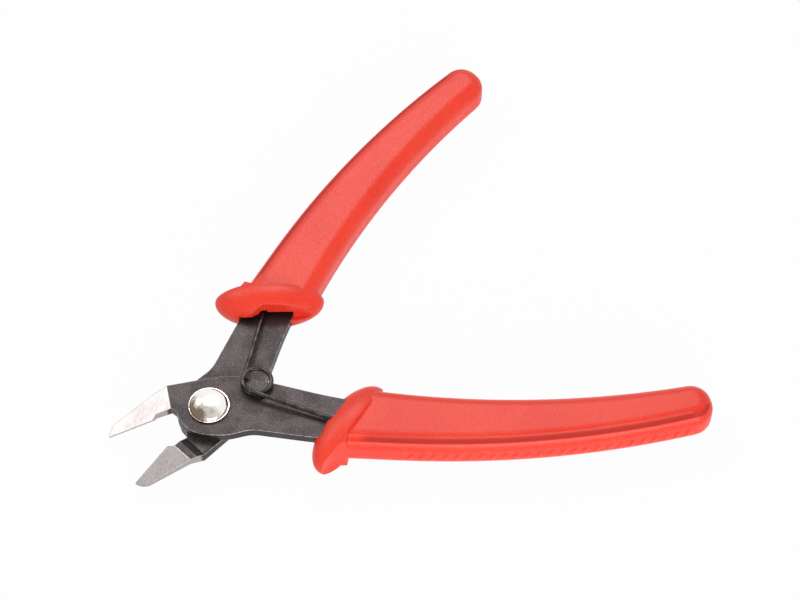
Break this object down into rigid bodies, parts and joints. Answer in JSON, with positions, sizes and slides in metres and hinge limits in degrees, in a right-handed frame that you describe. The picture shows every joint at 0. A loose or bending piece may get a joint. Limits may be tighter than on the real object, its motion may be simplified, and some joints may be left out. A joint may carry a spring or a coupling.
{
  "type": "sprue nippers",
  "caption": "Sprue nippers lying open: crossed stamped blades on a domed rivet, a coil return spring and curved moulded grips with thumb guards.",
  "frame": {"origin": "middle of the footprint, at the lowest point of the tool lying open on its back", "axes": "+X from the jaws towards the handles along the line halfway between them, +Z out of the front face where the rivet's dome stands"},
  "size_m": [0.119, 0.1116, 0.0116],
  "materials": {
    "front_steel": "black oxide with ground bright cutting faces",
    "rear_steel": "black oxide with ground bright cutting faces",
    "rivet_plating": "polished nickel plate",
    "spring_wire": "blackened spring wire",
    "front_grip_plastic": "satin red moulding, fine pebble on the sides",
    "rear_grip_plastic": "satin red moulding, fine pebble on the sides"
  },
  "bodies": {
    "front_half": {"front_blade_lever": "front_steel", "pivot_rivet": "rivet_plating", "return_spring": "spring_wire", "front_grip": "front_grip_plastic"},
    "rear_half": {"rear_blade_lever": "rear_steel", "rear_grip": "rear_grip_plastic"}
  },
  "joints": [
    {"name": "blade_pivot", "type": "hinge", "parent": "front_half", "child": "rear_half", "pos_m": [-0.03815, -0.00014, 0.0058], "axis": [0, 0, 1], "range_deg": [-34, 0], "stiffness_Nm_per_rad": 0.3, "springref_deg": 28.65, "deforming": ["return_spring"]}
  ]
}
